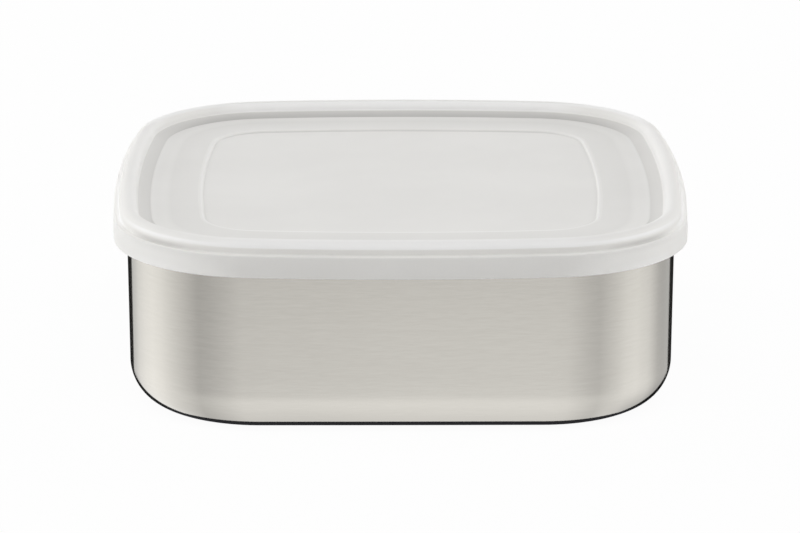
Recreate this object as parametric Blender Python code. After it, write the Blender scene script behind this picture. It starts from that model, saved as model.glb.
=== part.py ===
# Square steel lunch box with a press-on plastic lid and the sealing ring under it.
# Metres, +Z up. The origin is on the floor, under the middle of the box.

import math

import bmesh
import bpy

# Box: one drawn steel sheet with a round base edge and a hem round its mouth
BOX_WIDTH = 0.1682
BOX_DEPTH = 0.1682
BOX_HEIGHT = 0.05335
BOX_CORNER_RADIUS = 0.041
BOX_SIDE_BULGE = 0.0001
BOX_BASE_FILLET = 0.0116
BOX_TAPER = 0.0004
SHEET = 0.0006
HEM_REACH = 0.0013
HEM_HEIGHT = 0.0016
HEM_EDGE = 0.0002

# Sealing ring: a flat silicone band that lies on the hem and is stretched round the lid's rib
SEAL_WIDTH = 0.0026
SEAL_THICKNESS = 0.0015
SEAL_EDGE = 0.0003

# Lid: a moulded plate with a round bead near its edge, a skirt outside and a locating rib inside
PANEL_WALL = 0.0015
PANEL_STEP = 0.0005
PANEL_INSET = 0.0289
LID_SIDE_BULGE = 0.002
BEAD_RADIUS = 0.0027
BEAD_RISE = 0.0014
LEDGE_WIDTH = 0.0018
LEDGE_EDGE = 0.0003
COVE_WIDTH = 0.0041
SKIRT_WALL = 0.0016
SKIRT_DRAFT = 0.0004
SKIRT_LIP = 0.0006
SNAP_RIDGE = 0.0007
RIB_WALL = 0.0012
RIB_DEPTH = 0.004
RIB_DRAFT = 0.0001

# Clearances between the pieces
SEAT_GAP = 0.0003
SNAP_CLEARANCE = 0.0004
RIB_CLEARANCE = 0.0013
SEAL_CLEARANCE = 0.0003

# Facets
SIDE_STEPS = 3
CORNER_STEPS = 10
FILLET_STEPS = 7
BEAD_STEPS = 8
COVE_STEPS = 3
HEM_STEPS = 4
SMOOTH_ANGLE = math.radians(30)


def plan_stations(corner_x, corner_y, radius, bulge):
    # A rounded rectangle whose sides bulge: each side is a large arc, tangent to the corner arcs.
    # A station is an arc centre, its radius and an outward direction, so that an inset shortens the radius.
    side_radius = (corner_y ** 2 + 2 * radius * bulge + bulge ** 2) / (2 * bulge)
    back_radius = (corner_x ** 2 + 2 * radius * bulge + bulge ** 2) / (2 * bulge)
    side_centre = corner_x + radius + bulge - side_radius
    back_centre = corner_y + radius + bulge - back_radius
    side_end = math.asin(corner_y / (side_radius - radius))
    back_start = math.pi / 2 - math.asin(corner_x / (back_radius - radius))
    runs = (
        (side_centre, 0.0, side_radius, 0.0, side_end, SIDE_STEPS),
        (corner_x, corner_y, radius, side_end, back_start, CORNER_STEPS),
        (0.0, back_centre, back_radius, back_start, math.pi / 2, SIDE_STEPS),
    )
    quarter = []
    for centre_x, centre_y, arc_radius, start, end, steps in runs:
        for step in range(steps):
            angle = start + (end - start) * step / steps
            quarter.append((centre_x, centre_y, arc_radius, math.cos(angle), math.sin(angle)))
    quarter.append((0.0, back_centre, back_radius, 0.0, 1.0))
    return mirror_round(quarter)


def mirror_round(quarter):
    # The quarter plan, from the middle of the right side to the middle of the back, mirrored to all four.
    stations = []
    for flip_x, flip_y in ((1, 1), (-1, 1), (-1, -1), (1, -1)):
        run = quarter if flip_x == flip_y else quarter[::-1]
        for x, y, radius, out_x, out_y in run[:-1]:
            stations.append((flip_x * x, flip_y * y, radius, flip_x * out_x, flip_y * out_y))
    return stations


def ring_points(stations, inset, z):
    points = []
    for x, y, radius, out_x, out_y in stations:
        reach = radius - inset
        points.append((x + reach * out_x, y + reach * out_y, z))
    return points


def swept_object(name, profile, material, closed=False):
    # A profile point is (plan, inset, z). Open profiles start and end on a flat cap.
    bm = bmesh.new()
    rings = []
    for plan, inset, z in profile:
        rings.append([bm.verts.new(point) for point in ring_points(plan, inset, z)])
    pairs = list(zip(rings, rings[1:]))
    if closed:
        pairs.append((rings[-1], rings[0]))
    else:
        bm.faces.new(rings[0])
        bm.faces.new(rings[-1])
    for lower, upper in pairs:
        for index in range(len(lower)):
            after = (index + 1) % len(lower)
            bm.faces.new((lower[index], lower[after], upper[after], upper[index]))
    bmesh.ops.recalc_face_normals(bm, faces=bm.faces)
    mesh = bpy.data.meshes.new(name)
    bm.to_mesh(mesh)
    bm.free()
    mesh.shade_smooth()
    mesh.set_sharp_from_angle(angle=SMOOTH_ANGLE)
    mesh.materials.append(material)
    item = bpy.data.objects.new(name, mesh)
    bpy.context.scene.collection.objects.link(item)
    return item


def plain_material(name, colour, roughness, metallic):
    material = bpy.data.materials.new(name)
    material.use_nodes = True
    shader = material.node_tree.nodes["Principled BSDF"]
    shader.inputs["Base Color"].default_value = (*colour, 1.0)
    shader.inputs["Roughness"].default_value = roughness
    shader.inputs["Metallic"].default_value = metallic
    return material


def box_plan():
    corner_x = BOX_WIDTH / 2 - BOX_SIDE_BULGE - BOX_CORNER_RADIUS
    corner_y = BOX_DEPTH / 2 - BOX_SIDE_BULGE - BOX_CORNER_RADIUS
    return plan_stations(corner_x, corner_y, BOX_CORNER_RADIUS, BOX_SIDE_BULGE)


def lid_plan():
    # Concentric with the box's corners, so the skirt clears the hem alike at all four.
    overhang = HEM_REACH + SNAP_CLEARANCE + SNAP_RIDGE + SKIRT_WALL
    corner_x = BOX_WIDTH / 2 - BOX_SIDE_BULGE - BOX_CORNER_RADIUS
    corner_y = BOX_DEPTH / 2 - BOX_SIDE_BULGE - BOX_CORNER_RADIUS
    return plan_stations(corner_x, corner_y, BOX_CORNER_RADIUS + overhang, LID_SIDE_BULGE)


def fillet_arc(plan, centre_inset, centre_z, radius):
    # From the wall down to the base.
    points = []
    for step in range(FILLET_STEPS + 1):
        angle = math.pi / 2 * step / FILLET_STEPS
        points.append((plan, centre_inset - radius * math.cos(angle), centre_z - radius * math.sin(angle)))
    return points


def box_profile(plan):
    fillet = min(BOX_BASE_FILLET, BOX_CORNER_RADIUS - BOX_TAPER - SHEET)
    fillet_inset = fillet + BOX_TAPER * (1 - fillet / BOX_HEIGHT)
    hem_foot = BOX_HEIGHT - HEM_HEIGHT
    hem_radius = (HEM_REACH + SHEET) / 2
    profile = fillet_arc(plan, fillet_inset, fillet, fillet)[::-1]
    profile.append((plan, BOX_TAPER * HEM_HEIGHT / BOX_HEIGHT, hem_foot))
    profile.append((plan, HEM_EDGE - HEM_REACH, hem_foot))
    profile.append((plan, -HEM_REACH, hem_foot + HEM_EDGE))
    for step in range(HEM_STEPS + 1):
        angle = math.pi * step / HEM_STEPS
        inset = SHEET - hem_radius - hem_radius * math.cos(angle)
        profile.append((plan, inset, BOX_HEIGHT - hem_radius + hem_radius * math.sin(angle)))
    return profile + fillet_arc(plan, fillet_inset, fillet, fillet - SHEET)


# Heights over the hem's top, where the lid's own frame stands
SEAL_TOP = SEAT_GAP + SEAL_THICKNESS
LID_UNDERSIDE = SEAL_TOP + SEAT_GAP
PANEL_TOP = LID_UNDERSIDE + PANEL_WALL
FLOOR_TOP = PANEL_TOP + PANEL_STEP
RIDGE_Z = -HEM_HEIGHT - SNAP_CLEARANCE
SKIRT_FOOT = RIDGE_Z - SKIRT_LIP
RIB_INSET = SHEET + RIB_CLEARANCE


def lid_profile(outer, inner):
    bead_start = SKIRT_DRAFT + LEDGE_EDGE + LEDGE_WIDTH
    bead_centre = bead_start + BEAD_RADIUS
    cove_start = bead_centre + BEAD_RADIUS
    bead_z = FLOOR_TOP + BEAD_RISE
    # Top, from the panel out to the skirt
    profile = [(outer, PANEL_INSET + PANEL_STEP, PANEL_TOP), (outer, PANEL_INSET, FLOOR_TOP)]
    for step in range(COVE_STEPS):
        share = step / COVE_STEPS
        profile.append((outer, cove_start + COVE_WIDTH * (1 - share), FLOOR_TOP + BEAD_RISE * share ** 2))
    for step in range(BEAD_STEPS + 1):
        angle = math.pi * step / BEAD_STEPS
        inset = bead_centre + BEAD_RADIUS * math.cos(angle)
        profile.append((outer, inset, bead_z + BEAD_RADIUS * math.sin(angle)))
    profile.append((outer, bead_start, FLOOR_TOP))
    profile.append((outer, SKIRT_DRAFT + LEDGE_EDGE, FLOOR_TOP))
    profile.append((outer, SKIRT_DRAFT, FLOOR_TOP - LEDGE_EDGE))
    profile.append((outer, 0.0, SKIRT_FOOT))
    # Inside of the skirt, with the ridge that snaps under the hem
    profile.append((outer, SKIRT_WALL, SKIRT_FOOT))
    profile.append((outer, SKIRT_WALL + SNAP_RIDGE, RIDGE_Z))
    profile.append((outer, SKIRT_WALL, RIDGE_Z + SKIRT_LIP))
    profile.append((outer, SKIRT_WALL + SKIRT_DRAFT, LID_UNDERSIDE))
    # Underside and the rib that drops inside the box's mouth
    profile.append((inner, RIB_INSET, LID_UNDERSIDE))
    profile.append((inner, RIB_INSET + RIB_DRAFT, LID_UNDERSIDE - RIB_DEPTH))
    profile.append((inner, RIB_INSET + RIB_WALL - RIB_DRAFT, LID_UNDERSIDE - RIB_DEPTH))
    profile.append((inner, RIB_INSET + RIB_WALL, LID_UNDERSIDE))
    return profile


def seal_profile(plan):
    inside = RIB_INSET - SEAL_CLEARANCE
    outside = inside - SEAL_WIDTH
    return [
        (plan, outside + SEAL_EDGE, SEAT_GAP),
        (plan, outside, SEAT_GAP + SEAL_EDGE),
        (plan, outside, SEAL_TOP - SEAL_EDGE),
        (plan, outside + SEAL_EDGE, SEAL_TOP),
        (plan, inside - SEAL_EDGE, SEAL_TOP),
        (plan, inside, SEAL_TOP - SEAL_EDGE),
        (plan, inside, SEAT_GAP + SEAL_EDGE),
        (plan, inside - SEAL_EDGE, SEAT_GAP),
    ]


def build():
    for item in list(bpy.data.objects):
        bpy.data.objects.remove(item, do_unlink=True)

    steel = plain_material("brushed_steel", (0.56, 0.54, 0.50), 0.32, 1.0)
    plastic = plain_material("pale_plastic", (0.80, 0.80, 0.79), 0.42, 0.0)
    silicone = plain_material("clear_silicone", (0.72, 0.74, 0.74), 0.5, 0.0)

    box = box_plan()
    swept_object("container", box_profile(box), steel)

    # The lid and its seal lift straight up from the hem.
    lift = bpy.data.objects.new("lid_lift_axis", None)
    lift.location = (0.0, 0.0, BOX_HEIGHT)
    bpy.context.scene.collection.objects.link(lift)
    lid = swept_object("lid", lid_profile(lid_plan(), box), plastic)
    seal = swept_object("lid_seal", seal_profile(box), silicone, closed=True)
    lid.parent = lift
    seal.parent = lift


build()
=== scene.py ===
from math import asin, atan2, cos, pi, sin, tan

import bmesh
import bpy
from mathutils import Matrix, Vector


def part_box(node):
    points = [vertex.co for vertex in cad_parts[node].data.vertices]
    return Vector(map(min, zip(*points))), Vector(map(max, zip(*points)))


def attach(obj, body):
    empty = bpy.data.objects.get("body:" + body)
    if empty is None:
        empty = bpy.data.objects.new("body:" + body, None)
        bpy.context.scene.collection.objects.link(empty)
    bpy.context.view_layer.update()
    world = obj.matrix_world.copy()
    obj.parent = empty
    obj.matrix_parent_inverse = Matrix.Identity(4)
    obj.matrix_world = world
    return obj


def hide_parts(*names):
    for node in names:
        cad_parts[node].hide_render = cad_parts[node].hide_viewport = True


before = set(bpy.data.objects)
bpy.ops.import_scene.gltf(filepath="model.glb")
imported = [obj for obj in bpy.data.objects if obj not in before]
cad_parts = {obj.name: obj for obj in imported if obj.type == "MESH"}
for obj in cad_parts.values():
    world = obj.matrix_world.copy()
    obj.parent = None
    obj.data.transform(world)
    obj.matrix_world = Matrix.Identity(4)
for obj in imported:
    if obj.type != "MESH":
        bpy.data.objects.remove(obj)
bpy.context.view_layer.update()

scene = bpy.context.scene
mm = 0.001

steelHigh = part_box("container")[1]
lidLow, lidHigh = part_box("lid")
sealLow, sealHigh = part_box("lid_seal")
boxHeight = steelHigh.z
print("frame loaded, box height", round(boxHeight / mm, 2), "lid reach", round(lidHigh.x / mm, 2))


# plan of the box and of the lid: long side arcs that run into the corner arcs
planStyle = {
    "cornerCentre": 43.0 * mm,  # of all four corner arcs, in x and in y
    "sideSteps": 12,
    "cornerSteps": 30,
}


def planStations(reach, bulge):
    # a station is its arc's centre, the arc's radius and the outward angle
    middle = planStyle["cornerCentre"]
    corner = reach - middle - bulge
    sideRadius = corner + (middle ** 2 + bulge ** 2) / (2 * bulge)
    sideMiddle = reach - sideRadius
    turn = asin(middle / (sideRadius - corner))
    runs = (
        (sideMiddle, 0.0, sideRadius, 0.0, turn, planStyle["sideSteps"]),
        (middle, middle, corner, turn, pi / 2 - turn, planStyle["cornerSteps"]),
        (0.0, sideMiddle, sideRadius, pi / 2 - turn, pi / 2, planStyle["sideSteps"]),
    )
    stations = []
    for quarter in range(4):
        spin = quarter * pi / 2
        for x, y, radius, first, last, steps in runs:
            for step in range(steps):
                angle = spin + first + (last - first) * step / steps
                stations.append((x * cos(spin) - y * sin(spin), x * sin(spin) + y * cos(spin), radius, angle))
    return stations


def ringPoints(stations, inset, height, shrink=1.0):
    points = []
    for x, y, radius, angle in stations:
        reach = radius - inset
        points.append((shrink * (x + reach * cos(angle)), shrink * (y + reach * sin(angle)), height))
    return points


def softSection(corners, steps=6):
    # corners are (inset, height, rounding); each rounding becomes a small arc
    points = []
    for index, (inset, height, rounding) in enumerate(corners):
        here = Vector((inset, height))
        if not rounding:
            points.append(here)
            continue
        before = (Vector(corners[index - 1][:2]) - here).normalized()
        after = (Vector(corners[(index + 1) % len(corners)][:2]) - here).normalized()
        bend = before.angle(after)
        centre = here + (before + after).normalized() * (rounding / sin(bend / 2))
        run = rounding / tan(bend / 2)
        start = here + before * run - centre
        end = here + after * run - centre
        first = atan2(start.y, start.x)
        sweep = (atan2(end.y, end.x) - first + pi) % (2 * pi) - pi
        for step in range(steps + 1):
            angle = first + sweep * step / steps
            points.append(centre + rounding * Vector((cos(angle), sin(angle))))
    return points


def arcSection(inset, height, radius, first, last, steps, rise=None):
    # an arc of the section, angles from the inward direction up; with a rise it is taller than it is deep
    points = []
    for step in range(steps + 1):
        angle = first + (last - first) * step / steps
        points.append(Vector((inset + radius * cos(angle), height + (rise or radius) * sin(angle))))
    return points


def flatRings(stations, inset, height, shares):
    # rings of a flat that draw in to the middle
    return [ringPoints(stations, inset, height, share) for share in shares]


def sweptPiece(name, rings, material, closed=False, paintedTones=None):
    # painted light and shade: one tone for each point, where given, kept on the mesh for the finish to read
    bm = bmesh.new()
    loops = [[bm.verts.new(point) for point in ring] for ring in rings]
    pairs = list(zip(loops, loops[1:]))
    if closed:
        pairs.append((loops[-1], loops[0]))
    count = len(loops[0])
    for lower, upper in pairs:
        for index in range(count):
            after = (index + 1) % count
            bm.faces.new((lower[index], lower[after], upper[after], upper[index]))
    if not closed:
        for loop in (loops[0], loops[-1]):
            hub = bm.verts.new((0.0, 0.0, loop[0].co.z))
            for index in range(count):
                bm.faces.new((loop[index], loop[(index + 1) % count], hub))
    bmesh.ops.recalc_face_normals(bm, faces=bm.faces)
    mesh = bpy.data.meshes.new(name)
    bm.to_mesh(mesh)
    bm.free()
    mesh.shade_smooth()
    mesh.materials.append(material)
    if paintedTones:
        layer = mesh.attributes.new("wallTone", "FLOAT", "POINT")
        layer.data.foreach_set("value", paintedTones + [0.0] * (len(mesh.vertices) - len(paintedTones)))
    piece = bpy.data.objects.new(name, mesh)
    scene.collection.objects.link(piece)
    even = piece.modifiers.new("evenShading", "WEIGHTED_NORMAL")
    even.mode = "FACE_AREA"
    even.weight = 60  # large faces count for more beside the small roundings
    return piece


# shader maths: a wrapped socket takes the usual operators
class Wire:
    def __init__(self, tree, socket):
        self.tree = tree
        self.socket = socket

    def math(self, operation, first, second=None):
        node = self.tree.nodes.new("ShaderNodeMath")
        node.operation = operation
        for socket, value in zip(node.inputs, (first, second)):
            if isinstance(value, Wire):
                self.tree.links.new(value.socket, socket)
            elif value is not None:
                socket.default_value = value
        return Wire(self.tree, node.outputs[0])

    def __add__(self, other):
        return self.math("ADD", self, other)

    def __radd__(self, other):
        return self.math("ADD", other, self)

    def __sub__(self, other):
        return self.math("SUBTRACT", self, other)

    def __rsub__(self, other):
        return self.math("SUBTRACT", other, self)

    def __mul__(self, other):
        return self.math("MULTIPLY", self, other)

    def __rmul__(self, other):
        return self.math("MULTIPLY", other, self)

    def __truediv__(self, other):
        return self.math("DIVIDE", self, other)

    def __rtruediv__(self, other):
        return self.math("DIVIDE", other, self)

    def __pow__(self, other):
        return self.math("POWER", self, other)

    def __rpow__(self, other):
        return self.math("POWER", other, self)

    def __abs__(self):
        return self.math("ABSOLUTE", self)


class Finish:
    def __init__(self, tree):
        self.tree = tree
        self.tree.nodes.clear()

    def node(self, kind, settings, values, out=0):
        made = self.tree.nodes.new("ShaderNode" + kind)
        for name, value in settings.items():
            if name == "stops":
                self.setStops(made.color_ramp, value)
            else:
                setattr(made, name, value)
        for name, value in values.items():
            socket = made.inputs[name]
            if isinstance(value, Wire):
                self.tree.links.new(value.socket, socket)
            else:
                socket.default_value = value
        return Wire(self.tree, made.outputs[out])

    def setStops(self, ramp, stops):
        while len(ramp.elements) < len(stops):
            ramp.elements.new(1.0)
        for element, (place, colour) in zip(ramp.elements, stops):
            element.position = place
            element.color = (*colour, 1.0)

    def noise(self, place, scale, detail=3.0, rough=0.5):
        values = {"Vector": place, "Scale": scale, "Detail": detail, "Roughness": rough}
        return self.node("TexNoise", {}, values)

    def stretched(self, place, scale):
        return self.node("VectorMath", {"operation": "MULTIPLY"}, {0: place, 1: scale})

    def mixColour(self, share, first, second):
        return self.node("Mix", {"data_type": "RGBA"}, {0: share, 6: first, 7: second}, out=2)

    def mixVector(self, share, first, second):
        return self.node("Mix", {"data_type": "VECTOR"}, {0: share, 4: first, 5: second}, out=1)

    def clampRange(self, value, low, high, lowOut=0.0, highOut=1.0):
        values = {"Value": value, "From Min": low, "From Max": high, "To Min": lowOut, "To Max": highOut}
        return self.node("MapRange", {"interpolation_type": "SMOOTHSTEP"}, values)

    def surface(self, shader, kind="OutputMaterial"):
        output = self.tree.nodes.new("ShaderNode" + kind)
        self.tree.links.new(shader.socket, output.inputs["Surface"])


def newFinish(name):
    material = bpy.data.materials.new(name)
    material.use_nodes = True
    return material, Finish(material.node_tree)


bumpDepth = 0.2 * mm  # for all the finishes

# brushed steel: hairlines run level round the walls and straight across the flats
steelStyle = {
    "pale": (0.637, 0.616, 0.571, 1.0),
    "deep": (0.535, 0.517, 0.476, 1.0),
    "roughness": 0.165,
    "roughVary": 0.14,                  # how much the grain changes it
    "anisotropy": 0.97,
    "gleamTurn": 0.25,                  # the gleam spreads up and down, across the hairlines
    "fineLines": (180.0, 3200.0, 3.0),  # cycles a metre along the lines and across them, and detail
    "broadLines": (55.0, 900.0, 2.0),
    "lineRough": 0.6,
    "clouds": (14.0, 2.0),              # scale and detail
    "grainMix": (0.62, 0.26, 0.12),     # fine lines, broad lines and clouds
    "grainSpan": (0.36, 0.64),
    "lineContrast": 0.22,
    "flatSpan": (0.55, 0.92),           # between these the walls' lines give way to the flats'
    "startTone": 0.15,
    "paintedPalerDown": ((60.0 * mm, 12.0 * mm, 0.44), (19.0 * mm, 10.0 * mm, 0.26)),  # painted reflection and shade: darker high on the wall, paler down to the round base edge; from, to and how much
    "edgeSpan": (-0.1, -0.4),           # the round base edge is smooth, so that it gleams more sharply
    "edgeRough": 0.3,
    "bump": 0.02,
}


def brushedSteel():
    style = steelStyle
    material, make = newFinish("brushedSteel")
    place = make.node("TexCoord", {}, {}, out="Object")
    facing = make.node("TexCoord", {}, {}, out="Normal")
    upward = make.node("SeparateXYZ", {}, {"Vector": facing}, out="Z")
    flat = make.clampRange(abs(upward), *style["flatSpan"])

    def hairline(along, across, detail):
        wall = make.stretched(place, (along, along, across))
        base = make.stretched(place, (along, across, along))
        return make.noise(make.mixVector(flat, wall, base), 1.0, detail, style["lineRough"])

    fine = hairline(*style["fineLines"])
    broad = hairline(*style["broadLines"])
    cloud = make.noise(place, *style["clouds"])
    fineShare, broadShare, cloudShare = style["grainMix"]
    grain = fine * fineShare + broad * broadShare + cloud * cloudShare
    height = make.node("SeparateXYZ", {}, {"Vector": place}, out="Z")
    tone = (make.clampRange(grain, *style["grainSpan"]) - 0.5) * style["lineContrast"] + style["startTone"]
    # painted reflection and shade: the colour pales towards the base and on the round base edge, and stays
    # darker high up under the lid
    for high, low, amount in style["paintedPalerDown"]:
        tone = tone + make.clampRange(height, high, low) * amount
    colour = make.mixColour(tone, style["deep"], style["pale"])
    smooth = make.clampRange(upward, *style["edgeSpan"], 1.0, style["edgeRough"])
    roughness = ((grain - 0.5) * style["roughVary"] + style["roughness"]) * smooth
    ridges = make.node("Bump", {}, {"Strength": style["bump"], "Distance": bumpDepth, "Height": fine})
    make.surface(make.node("BsdfPrincipled", {}, {
        "Base Color": colour,
        "Metallic": 1.0,
        "Roughness": roughness,
        "Anisotropic": style["anisotropy"],
        "Anisotropic Rotation": style["gleamTurn"],
        "Normal": ridges,
    }))
    return material


# pale plastic: satin moulding with a fine spark texture, and painted light and shade from the mesh's tones
plasticStyle = {
    "pale": (0.868, 0.859, 0.836, 1.0),
    "deep": (0.836, 0.827, 0.804, 1.0),
    "paintedLight": (0.955, 0.950, 0.942, 1.0),  # painted light: the colour where the tone is 1, on the lid's bright lines
    "paintedShade": (0.560, 0.551, 0.535, 1.0),   # painted shade: the colour where the tone is -1, in the cove and the groove
    "flow": (22.0, 3.0, 0.55),            # scale, detail and roughness of the noise
    "spark": (2600.0, 2.0, 0.6),
    "toneMix": (0.7, 0.3),                # flow and spark
    "toneSpan": (0.35, 0.65),
    "roughness": 0.50,
    "roughVary": (0.16, 0.10),            # by the spark and by the flow
    "bump": 0.05,
    "softness": 0.15,
    "softReach": (3.0 * mm, 3.0 * mm, 3.0 * mm),
    "ior": 1.5,
    "gloss": 0.12,
}


def palePlastic():
    style = plasticStyle
    material, make = newFinish("palePlastic")
    place = make.node("TexCoord", {}, {}, out="Object")
    flow = make.noise(place, *style["flow"])
    spark = make.noise(place, *style["spark"])
    flowShare, sparkShare = style["toneMix"]
    tone = flow * flowShare + spark * sparkShare
    solid = make.mixColour(make.clampRange(tone, *style["toneSpan"]), style["deep"], style["pale"])
    # painted light and shade: the mesh's tone lightens the colour on the lid's bright lines and darkens it in
    # the cove, the groove and the step's foot
    wall = make.node("Attribute", {"attribute_name": "wallTone"}, {}, out="Fac")
    paintedLight = make.mixColour(make.clampRange(wall, 0.0, 1.0), solid, style["paintedLight"])
    colour = make.mixColour(make.clampRange(wall, 0.0, -1.0), paintedLight, style["paintedShade"])
    bySpark, byFlow = style["roughVary"]
    roughness = (spark - 0.5) * bySpark + (flow - 0.5) * byFlow + style["roughness"]
    grain = make.node("Bump", {}, {"Strength": style["bump"], "Distance": bumpDepth, "Height": spark})
    make.surface(make.node("BsdfPrincipled", {}, {
        "Base Color": colour,
        "Roughness": roughness,
        "Subsurface Weight": style["softness"],
        "Subsurface Radius": style["softReach"],
        "Subsurface Scale": 1.0,
        "IOR": style["ior"],
        "Specular IOR Level": style["gloss"],
        "Normal": grain,
    }))
    return material


# silicone: milky and soft, with a dusting of fine pores
siliconeStyle = {
    "pale": (0.760, 0.775, 0.775, 1.0),
    "deep": (0.690, 0.705, 0.705, 1.0),
    "clouds": (60.0, 3.0),   # scale and detail
    "pores": (3000.0, 2.0),
    "toneMix": (0.6, 0.4),   # clouds and pores
    "toneSpan": (0.35, 0.65),
    "roughness": 0.48,
    "roughVary": 0.2,
    "bump": 0.08,
    "softness": 0.30,
    "softReach": (2.0 * mm, 2.0 * mm, 2.0 * mm),
    "ior": 1.42,
}


def milkySilicone():
    style = siliconeStyle
    material, make = newFinish("milkySilicone")
    place = make.node("TexCoord", {}, {}, out="Object")
    cloud = make.noise(place, *style["clouds"])
    pores = make.noise(place, *style["pores"])
    cloudShare, poreShare = style["toneMix"]
    tone = make.clampRange(cloud * cloudShare + pores * poreShare, *style["toneSpan"])
    colour = make.mixColour(tone, style["deep"], style["pale"])
    roughness = (pores - 0.5) * style["roughVary"] + style["roughness"]
    grain = make.node("Bump", {}, {"Strength": style["bump"], "Distance": bumpDepth, "Height": pores})
    make.surface(make.node("BsdfPrincipled", {}, {
        "Base Color": colour,
        "Roughness": roughness,
        "Subsurface Weight": style["softness"],
        "Subsurface Radius": style["softReach"],
        "Subsurface Scale": 1.0,
        "IOR": style["ior"],
        "Normal": grain,
    }))
    return material


steel = brushedSteel()
plastic = palePlastic()
silicone = milkySilicone()
print("finishes made")


# steel box: one drawn sheet, round base edge, folded hem at the mouth
boxStyle = {
    "bulge": 0.1 * mm,
    "sheet": 0.6 * mm,
    "baseReach": 11.3 * mm,    # of the round base edge, inwards and upwards
    "baseRise": 12.7 * mm,
    "taper": 0.4 * mm,
    "hemReach": 1.3 * mm,
    "hemHeight": 1.6 * mm,
    "hemEdge": 0.28 * mm,
    "hemSoft": 0.22 * mm,      # rounding of the corner under the hem
    "hemRun": 0.8 * mm,        # length of plain wall below that corner
    "hemSteps": 16,
    "filletSteps": 22,
    "wallSteps": 5,
    "flatShares": (0.2, 0.5, 0.8, 0.97),
}
boxPlan = planStations(steelHigh.x - boxStyle["hemReach"], boxStyle["bulge"])


def wallInset(height):
    return boxStyle["taper"] * (1 - height / boxHeight)


def makeBox():
    style = boxStyle
    sheet, fillet = style["sheet"], style["baseRise"]
    filletInset = style["baseReach"] + wallInset(fillet)
    hemFoot = boxHeight - style["hemHeight"]
    hemStart = hemFoot - style["hemRun"]
    hemRadius = (style["hemReach"] + sheet) / 2
    hemCentre = boxHeight - hemRadius
    outside = arcSection(filletInset, fillet, style["baseReach"], 1.5 * pi, pi, style["filletSteps"], fillet)
    for step in range(1, style["wallSteps"]):
        height = fillet + (hemStart - fillet) * step / style["wallSteps"]
        outside.append(Vector((wallInset(height), height)))
    hem = softSection([
        (wallInset(hemStart), hemStart, 0),
        (wallInset(hemFoot), hemFoot, style["hemSoft"]),
        (-style["hemReach"], hemFoot, style["hemEdge"]),
        (-style["hemReach"], hemCentre, 0),
    ])
    crown = arcSection(sheet - hemRadius, hemCentre, hemRadius, pi, 0.0, style["hemSteps"])[1:]
    inside = []
    for step in range(1, style["wallSteps"]):
        height = hemCentre - (hemCentre - fillet) * step / style["wallSteps"]
        inside.append(Vector((wallInset(height) + sheet, height)))
    inside += arcSection(filletInset, fillet, style["baseReach"] - sheet, pi, 1.5 * pi, style["filletSteps"],
                         fillet - sheet)
    base = flatRings(boxPlan, filletInset, 0.0, style["flatShares"])
    floor = flatRings(boxPlan, filletInset, sheet, style["flatShares"][::-1])
    walls = [ringPoints(boxPlan, point.x, point.y) for point in outside + hem + crown + inside]
    return sweptPiece("steelBox", base + walls + floor, steel)


steelBox = makeBox()
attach(steelBox, "container")
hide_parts("container")
print("steel box made")


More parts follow.
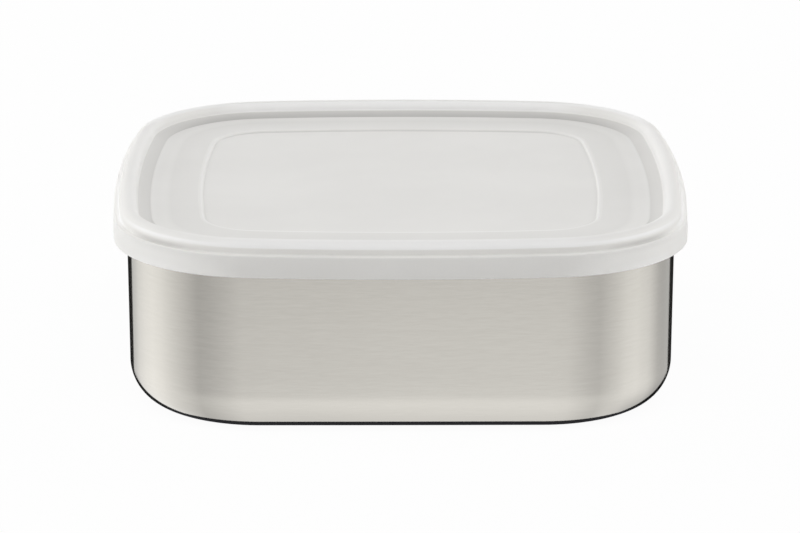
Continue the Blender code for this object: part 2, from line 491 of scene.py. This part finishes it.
# lid: moulded plate with a lowered panel, a round bead and a skirt; heights are over the box's hem
lidStyle = {
    "bulge": 2.0 * mm,
    "underside": 2.1 * mm,
    "panelWall": 1.5 * mm,
    "panelStep": 0.5 * mm,
    "panelInset": 28.3 * mm,
    "panelWide": 0.75 * mm,    # the panel reaches this much further to the sides
    "panelSoft": 0.3 * mm,     # half the width of the panel's step
    "panelRun": 1.5 * mm,      # flat that is drawn on both sides of the step's middle
    "panelShares": (0.2, 0.5, 0.8, 0.96),
    "beadRadius": 2.7 * mm,
    "beadRise": 1.4 * mm,
    "beadWide": 0.45 * mm,     # the bead stands this much further out at the sides
    "beadSteps": 28,
    "coveWidth": 4.1 * mm,
    "coveCurve": 1.4,
    "coveSteps": 10,
    "coveLine": 0.25 * mm,     # a line of the floor along the cove
    "floorLine": 6.0 * mm,     # and one further in
    "ledgeWidth": 1.8 * mm,
    "ledgeEdge": 0.3 * mm,
    "ledgeFoot": 0.7 * mm,
    "skirtWall": 1.6 * mm,
    "skirtDraft": 0.4 * mm,
    "skirtLip": 0.6 * mm,
    "skirtRun": 1.5 * mm,
    "lipThin": 0.1 * mm,
    "snapRidge": 0.7 * mm,
    "ribInset": 1.9 * mm,      # from the box's outline
    "ribWall": 1.2 * mm,
    "ribDepth": 4.0 * mm,
    "ribDraft": 0.1 * mm,
    "ribRuns": (0.8 * mm, 1.6 * mm),  # underside that is drawn outside and inside it
    "rounding": {
        "step": 0.2 * mm, "beadFoot": 0.4 * mm, "ledge": 0.45 * mm, "lip": 0.3 * mm, "ridge": 0.25 * mm,
        "root": 0.5 * mm, "ribRoot": 0.3 * mm, "ribEnd": 0.4 * mm,
    },
    # painted light and shade in the plastic's colour, from 1 for the lightest to -1 for the darkest,
    # at the front, its corners, the sides and the back
    "paintedTones": {
        "panel": (-0.05, -0.05, -0.05, -0.05),
        "stepFoot": (-0.3, -0.3, -0.2, -0.5),
        "stepTop": (0.9, 0.6, 0.45, 0.0),
        "stepEnd": (-0.21, -0.19, -0.21, -0.19),
        "floorLine": (-0.30, -0.26, -0.26, -0.30),
        "coveLine": (-0.1, 0.1, 0.3, 0.0),
        "coveStart": (-1.0, -0.8, -0.47, -1.0),
        "coveEnd": (-0.45, -0.5, -0.47, -0.45),
        "ledgeFoot": (0.0, -0.55, 1.0, 1.0),
        "groove": (-0.08, -0.58, 1.0, 1.0),
        "ledge": (-0.1, 0.0, 0.24, -0.1),
        "ledgeEdge": (-0.32, -0.3, 0.24, -0.32),
        "lip": (-0.38, 0.45, -0.1, -0.38),
        "inside": (0.0, 0.0, 0.0, 0.0),
    },
    "panelPaintedTone": -0.08,
    # painted light and shade on the bead, from its inner foot to its outer one, as (share, tone)
    "beadFront": ((0.0, 1.0), (0.36, 1.0), (0.42, 0.1), (0.48, 0.35), (0.55, 0.68), (0.7, 0.7), (0.93, 1.0),
                  (0.97, -0.05), (1.0, -0.18)),
    "beadCorner": ((0.0, 0.3), (0.5, 0.3), (0.62, 0.2), (0.72, 0.0), (0.79, 0.1), (0.83, 0.85), (0.87, 0.95),
                   (0.9, 0.6), (0.94, 0.4), (1.0, -0.25)),
    "beadSide": ((0.0, 0.6), (0.5, 0.35), (0.75, -0.2), (0.9, 0.0), (0.96, 0.2), (1.0, 0.3)),
    "beadBackCorner": ((0.0, 0.1), (0.25, 0.05), (0.4, 1.0), (1.0, 1.0)),
}
lidPlan = planStations(lidHigh.x, lidStyle["bulge"])
panelPlan = [(x + lidStyle["panelWide"] * cos(angle), y, radius, angle) for x, y, radius, angle in lidPlan]


def beadOut(angle):
    # all of it at the sides and none in the middle of the front and the back;
    # the back corners have more of it than the front ones
    return lidStyle["beadWide"] * (1.0 - abs(sin(angle)) ** (4 if sin(angle) > 0 else 2))


beadPlan = [(x, y, radius + beadOut(angle), angle) for x, y, radius, angle in lidPlan]


def between(table, share):
    # a value from a table of (share, value), in straight lines
    for (low, first), (high, last) in zip(table, table[1:]):
        if share <= high:
            return first + (last - first) * (share - low) / (high - low)
    return table[-1][1]


def makeLid():
    style = lidStyle
    paintedTones, rounding = style["paintedTones"], style["rounding"]
    underside = boxHeight + style["underside"]
    panelTop = underside + style["panelWall"]
    floorTop = panelTop + style["panelStep"]
    panelEdge = style["panelInset"] + style["panelStep"] / 2
    beadStart = style["skirtDraft"] + style["ledgeEdge"] + style["ledgeWidth"]
    beadMiddle = beadStart + style["beadRadius"]
    coveEnd = beadMiddle + style["beadRadius"] + style["coveWidth"]
    skirtFoot = lidLow.z
    ridgeHeight = skirtFoot + style["skirtLip"]

    top = []  # section points with their plan, their painted light and shade tones and that of the back corners, where it has its own

    def run(points, pointPaintedTones, plan=lidPlan, backCorner=None):
        top.extend((point, plan, (*pointPaintedTones, backCorner)) for point in points)

    # panel and its step, from the inside out
    stepSection = softSection([
        (panelEdge + style["panelRun"], panelTop, 0),
        (panelEdge + style["panelSoft"], panelTop, rounding["step"]),
        (panelEdge - style["panelSoft"], floorTop, rounding["step"]),
        (panelEdge - style["panelRun"], floorTop, 0),
    ], 5)
    run(stepSection[:1], paintedTones["panel"], panelPlan)
    run(stepSection[1:7], paintedTones["stepFoot"], panelPlan)
    run(stepSection[7:-1], paintedTones["stepTop"], panelPlan)
    run(stepSection[-1:], paintedTones["stepEnd"], panelPlan)
    for line in ("floorLine", "coveLine"):
        run([Vector((coveEnd + style[line], floorTop))], paintedTones[line])
    for index in range(style["coveSteps"]):
        share = index / style["coveSteps"]
        rise = style["beadRise"] * share ** style["coveCurve"]
        blend = [first + (last - first) * share for first, last in zip(paintedTones["coveStart"], paintedTones["coveEnd"])]
        run([Vector((coveEnd - style["coveWidth"] * share, floorTop + rise))], blend, beadPlan)
    beadHeight = floorTop + style["beadRise"]
    bead = arcSection(beadMiddle, beadHeight, style["beadRadius"], 0.0, pi, style["beadSteps"])
    for index, point in enumerate(bead):
        front, corner, side, backCorner = [between(style[table], index / style["beadSteps"]) for table in (
            "beadFront", "beadCorner", "beadSide", "beadBackCorner")]
        run([point], (front, corner, side, front), beadPlan, backCorner)
    # ledge, skirt, lip and snap ridge
    skirtTop = style["skirtWall"] + style["skirtDraft"]
    skirt = softSection([
        (beadStart, floorTop + style["ledgeFoot"], 0),
        (beadStart, floorTop, rounding["beadFoot"]),
        (style["skirtDraft"], floorTop, rounding["ledge"]),
        (0.0, skirtFoot, rounding["lip"]),
        (style["skirtWall"] - style["lipThin"], skirtFoot, rounding["lip"]),
        (style["skirtWall"] + style["snapRidge"], ridgeHeight, rounding["ridge"]),
        (style["skirtWall"], ridgeHeight + style["skirtLip"], rounding["lip"]),
        (skirtTop, underside, rounding["root"]),
        (skirtTop + style["skirtRun"], underside, 0),
    ])
    run(skirt[:1], paintedTones["ledgeFoot"], beadPlan)
    run(skirt[1:8], paintedTones["groove"], beadPlan)
    run(skirt[8:10], paintedTones["ledge"])
    run(skirt[10:15], paintedTones["ledgeEdge"])
    run(skirt[15:22], paintedTones["lip"])
    run(skirt[22:], paintedTones["inside"])
    ribInset, ribDraft = style["ribInset"], style["ribDraft"]
    ribInner = ribInset + style["ribWall"]
    ribFoot = underside - style["ribDepth"]
    outerRun, innerRun = style["ribRuns"]
    rib = softSection([
        (ribInset - outerRun, underside, 0),
        (ribInset, underside, rounding["ribRoot"]),
        (ribInset + ribDraft, ribFoot, rounding["ribEnd"]),
        (ribInner - ribDraft, ribFoot, rounding["ribEnd"]),
        (ribInner, underside, rounding["root"]),
        (ribInner + innerRun, underside, 0),
    ])
    panel = flatRings(panelPlan, stepSection[0].x, panelTop, style["panelShares"])
    below = flatRings(boxPlan, rib[-1].x, underside, boxStyle["flatShares"][::-1])
    rings = panel + [ringPoints(plan, point.x, point.y) for point, plan, _ in top]
    rings += [ringPoints(boxPlan, point.x, point.y) for point in rib] + below
    # painted light and shade for each point, blended round the lid from the front, corner, side and back tones
    paintedToneValues = [style["panelPaintedTone"]] * (len(panel) * len(lidPlan))
    for _, _, (front, corner, side, back, backCorner) in top:
        for _, _, _, angle in lidPlan:
            ends, bend = (front, corner) if sin(angle) < 0 else (back, backCorner)
            square = ends + (side - ends) * cos(angle) ** 2
            paintedToneValues.append(square if bend is None else square + (bend - square) * sin(2 * angle) ** 2)
    return sweptPiece("lidShell", rings, plastic, paintedTones=paintedToneValues)


lidShell = makeLid()
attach(lidShell, "lid")
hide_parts("lid")
print("lid made")


# sealing ring: a flat silicone band round the lid's rib
sealStyle = {
    "clearance": 0.3 * mm,
    "width": 2.6 * mm,
    "edge": 0.35 * mm,
}


def makeSeal():
    inside = lidStyle["ribInset"] - sealStyle["clearance"]
    outside = inside - sealStyle["width"]
    low, high, edge = sealLow.z, sealHigh.z, sealStyle["edge"]
    section = softSection([
        (outside, low, edge), (outside, high, edge), (inside, high, edge), (inside, low, edge),
    ])
    rings = [ringPoints(boxPlan, point.x, point.y) for point in section]
    return sweptPiece("sealRing", rings, silicone, closed=True)


sealRing = makeSeal()
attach(sealRing, "lid")
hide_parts("lid_seal")
print("sealing ring made")


# camera: a long lens, a little above the lid
cameraStyle = {
    "lens": 186.45,
    "sensor": 36.0,
    "distance": 1.3207,
    "pitch": 0.2881,
    "yaw": -0.0072,
    "roll": 0.0006,
    "target": (0.00006, 0.0, 0.02827),
    "clip": (0.01, 50.0),
}


def sightBack():
    # from the target to the camera
    pitch, yaw = cameraStyle["pitch"], cameraStyle["yaw"]
    return Vector((sin(yaw) * cos(pitch), -cos(yaw) * cos(pitch), sin(pitch)))


def makeCamera():
    style = cameraStyle
    roll = style["roll"]
    back = sightBack()
    right = (-back).cross(Vector((0.0, 0.0, 1.0))).normalized()
    up = right.cross(-back)
    across = cos(roll) * right + sin(roll) * up
    upright = cos(roll) * up - sin(roll) * right
    data = bpy.data.cameras.new("photoCamera")
    data.lens = style["lens"]
    data.sensor_width = style["sensor"]
    data.clip_start, data.clip_end = style["clip"]
    camera = bpy.data.objects.new("photoCamera", data)
    turned = Matrix((across, upright, back)).transposed().to_4x4()
    camera.matrix_world = Matrix.Translation(Vector(style["target"]) + style["distance"] * back) @ turned
    scene.collection.objects.link(camera)
    scene.camera = camera


makeCamera()
scene.view_settings.view_transform = "Standard"
print("camera made")


# studio: a white floor that fades into the world, soft lamps, and what the steel mirrors all round
studioStyle = {
    "ambient": 0.30,
    "floorSize": 12.0,
    "floorDrop": 0.05 * mm,       # just clear of the box's base
    "floorColour": (0.92, 0.92, 0.92, 1.0),
    "white": (1.0, 1.0, 1.0, 1.0),
    "shadowShare": 0.045,         # how much of the lit floor the camera sees, for a faint shadow
    "shadowCardColour": (0.03, 0.03, 0.035, 1.0),
    "cardInset": 5.5 * mm,        # inset of the painted shadow: a dark card under the box's round base edge, where the shade is
    "cardDrop": 0.5 * mm,
    # clear fins beside the front corners, mirrored along the box's outline;
    # reach and height of the points of their edge, in mm
    "finEdge": ((70.5, -37.0), (75.5, -30.0), (79.3, -25.0), (81.0, -23.0), (83.4, -19.0), (85.5, -15.0),
                (86.5, -11.0), (87.3, -7.0), (87.65, -3.0), (87.7, 1.0), (87.45, 5.0), (87.8, 9.0),
                (88.2, 20.0), (88.6, 37.0), (88.95, 50.6), (83.9, 50.6), (83.7, 12.7), (82.2, 6.0),
                (79.8, 3.0), (77.0, 1.0), (69.5, -1.0)),
    "finPlace": -45.5 * mm,
    "finMiddle": 0.498,           # of the turns that stay light through a fin
    "finTurn": (0.4097, 0.4136),  # and how far from it they fade to dark
    "finDark": 0.98,
    "edgeShare": 0.19,            # faces seen more edge-on than this are dark through a fin as well
    "edgeTilt": 0.17,             # and the round base edge sooner
    "edgeFade": 0.01,
    "lamps": (
        # name, place, aim, width, height, watts, mirrored
        ("keyLamp", (0.0, -1.07, 1.95), (0.0, 0.0, 0.05), 1.85, 1.28, 23.0, True),
        ("leftLamp", (-1.25, 0.2, 0.33), (0.0, 0.0, 0.03), 0.5, 0.6, 6.3, False),
        ("rightLamp", (1.25, 0.2, 0.33), (0.0, 0.0, 0.03), 0.5, 0.6, 4.9, False),
        ("rimLamp", (-0.08, 1.35, 0.42), (0.0, 0.0, 0.05), 1.7, 0.5, 6.0, False),
    ),
    # what the steel mirrors, by the degrees that its face turns to the left or right of the camera
    "surroundLeft": ((0, 0.92), (1.5, 0.86), (8, 0.86), (15, 0.75), (22.5, 0.645), (27.5, 0.61), (38, 0.94),
                     (48, 1.25), (54, 1.335), (60, 1.255), (66.5, 1.06), (71.5, 0.80), (90, 0.80)),
    "surroundRight": ((1.5, 0.925), (11, 0.905), (21, 0.75), (25, 0.715), (34, 0.96), (39, 1.115), (45, 1.175),
                      (53, 1.055), (61, 0.70), (65, 0.64), (73.4, 0.64), (82, 0.80)),
    "surroundTop": 2.0,           # the ramp holds levels as shares of this
    "baseGain": 0.22,             # added where the round base edge starts to turn down
    "baseLevel": 0.15,            # less this share of it all round
    "baseLift": -0.16,
    "baseEven": 0.25,             # and how far the bands even out there
    "baseShade": (0.1, 0.42),     # how far the left and the right corner darken down the base edge
    "shadeTurns": ((0.34, 0.24), (0.66, 0.76)),
    "shadeLift": (-0.05, -0.75),
    "skySpan": (0.42, 0.62),      # heights between which the sky dims
    "skyTop": 0.35,
    "horizon": 0.04,
}


def rayKinds(make):
    return [make.node("LightPath", {}, {}, out=kind) for kind in (
        "Is Camera Ray", "Is Glossy Ray", "Is Transmission Ray")]


def makeFloor():
    style = studioStyle
    half, low = style["floorSize"] / 2, -style["floorDrop"]
    mesh = bpy.data.meshes.new("studioFloor")
    corners = [(-half, -half, low), (half, -half, low), (half, half, low), (-half, half, low)]
    mesh.from_pydata(corners, [], [(0, 1, 2, 3)])
    floor = bpy.data.objects.new("studioFloor", mesh)
    scene.collection.objects.link(floor)
    material, make = newFinish("whiteFloor")
    camera, gloss, through = rayKinds(make)
    seen = camera * (1 - style["shadowShare"]) + gloss + through
    lit = make.node("BsdfDiffuse", {}, {"Color": style["floorColour"]})
    glow = make.node("Emission", {}, {"Color": style["white"], "Strength": 1.0})
    make.surface(make.node("MixShader", {}, {0: seen, 1: lit, 2: glow}))
    mesh.materials.append(material)
    floor.visible_glossy = False  # the steel mirrors the surround instead


def makeCard(name, outline, colour=None):
    # a card that only the steel's mirror image shows; a clear one tells the world that a ray came through it
    mesh = bpy.data.meshes.new(name)
    mesh.from_pydata(outline, [], [list(range(len(outline)))])
    card = bpy.data.objects.new(name, mesh)
    scene.collection.objects.link(card)
    material, make = newFinish(name)
    shader = make.node("BsdfTransparent", {}, {})
    if colour:
        glow = make.node("Emission", {}, {"Color": colour, "Strength": 1.0})
        behind = make.node("NewGeometry", {}, {}, out="Backfacing")  # clear from its back
        shader = make.node("MixShader", {}, {0: behind, 1: glow, 2: shader})
    make.surface(shader)
    mesh.materials.append(material)
    card.visible_camera = False
    card.visible_diffuse = False
    card.visible_transmission = False
    card.visible_shadow = False


def makeCards():
    style = studioStyle
    # painted shadow: a dark card under the box's base stands for the shade there, seen only in the steel
    makeCard("contactShadowCard", ringPoints(boxPlan, style["cardInset"], -style["cardDrop"]), style["shadowCardColour"])
    for name, side in (("finLeft", -mm), ("finRight", mm)):
        makeCard(name, [(side * reach, style["finPlace"], height * mm) for reach, height in style["finEdge"]])


def makeWorld():
    style = studioStyle
    world = bpy.data.worlds.new("studioWorld")
    scene.world = world
    world.use_nodes = True
    make = Finish(world.node_tree)
    camera, gloss, through = rayKinds(make)
    ray = make.node("TexCoord", {}, {}, out="Generated")
    # a mirror that sends the camera's sight along this ray faces half-way between the two
    back = sightBack()
    halfWay = make.node("VectorMath", {"operation": "ADD"}, {0: ray, 1: back})
    facing = make.node("VectorMath", {"operation": "NORMALIZE"}, {0: halfWay})
    across, along, lift = [make.node("SeparateXYZ", {}, {"Vector": facing}, out=axis) for axis in "XYZ"]
    share = make.node("VectorMath", {"operation": "DOT_PRODUCT"}, {0: facing, 1: back}, out="Value")
    turn = across.math("ARCTAN2", across, 0 - along) / pi + 0.5
    # the bands round the walls
    stops = [(0.5 - angle / 180, level) for angle, level in style["surroundLeft"]]
    stops += [(0.5 + angle / 180, level) for angle, level in style["surroundRight"]]
    shares = [(place, (level / style["surroundTop"],) * 3) for place, level in sorted(stops)]
    level = make.node("ValToRGB", {"stops": shares}, {0: turn}) * style["surroundTop"]
    # more light where the round base edge turns down, and shade at its corners
    gain = (along ** 4 - style["baseLevel"]) * style["baseGain"] + (1 - level) * along ** 2 * style["baseEven"]
    level = level + gain * make.clampRange(lift, 0.0, style["baseLift"])
    leftShade, rightShade = style["baseShade"]
    leftTurns, rightTurns = style["shadeTurns"]
    shade = make.clampRange(turn, *leftTurns) * leftShade + make.clampRange(turn, *rightTurns) * rightShade
    # a dark rim for the rays that came through a fin
    fade = style["edgeFade"]
    edgeOn = share - (style["edgeShare"] - style["edgeTilt"] * lift)
    aside = make.clampRange(abs(turn - style["finMiddle"]), *style["finTurn"])
    bright = make.clampRange(edgeOn, -fade, fade) * (1 - aside)
    finned = make.clampRange(make.node("LightPath", {}, {}, out="Transparent Depth"), 0.0, 1.0)
    lit = 1 - (1 - bright) * finned * style["finDark"]
    below = level * lit * (1 - shade * make.clampRange(lift, *style["shadeLift"]))
    z = make.node("SeparateXYZ", {}, {"Vector": ray}, out="Z")
    above = make.clampRange(z, *style["skySpan"], 1.0, style["skyTop"])
    upper = make.clampRange(z, -style["horizon"], style["horizon"])
    surround = below * (1 - upper) + above * upper
    plain = camera + through
    strength = plain + gloss * surround + (1 - plain - gloss) * style["ambient"]
    make.surface(make.node("Background", {}, {"Color": style["white"], "Strength": strength}), "OutputWorld")


def makeLamps():
    for name, place, aim, width, height, watts, mirrored in studioStyle["lamps"]:
        lamp = bpy.data.lights.new(name, "AREA")
        lamp.shape = "RECTANGLE"
        lamp.size = width
        lamp.size_y = height
        lamp.energy = watts
        item = bpy.data.objects.new(name, lamp)
        item.location = place
        item.visible_glossy = mirrored
        item.rotation_euler = (Vector(aim) - Vector(place)).to_track_quat("-Z", "Y").to_euler()
        scene.collection.objects.link(item)


makeFloor()
makeCards()
makeWorld()
makeLamps()
print("studio made")
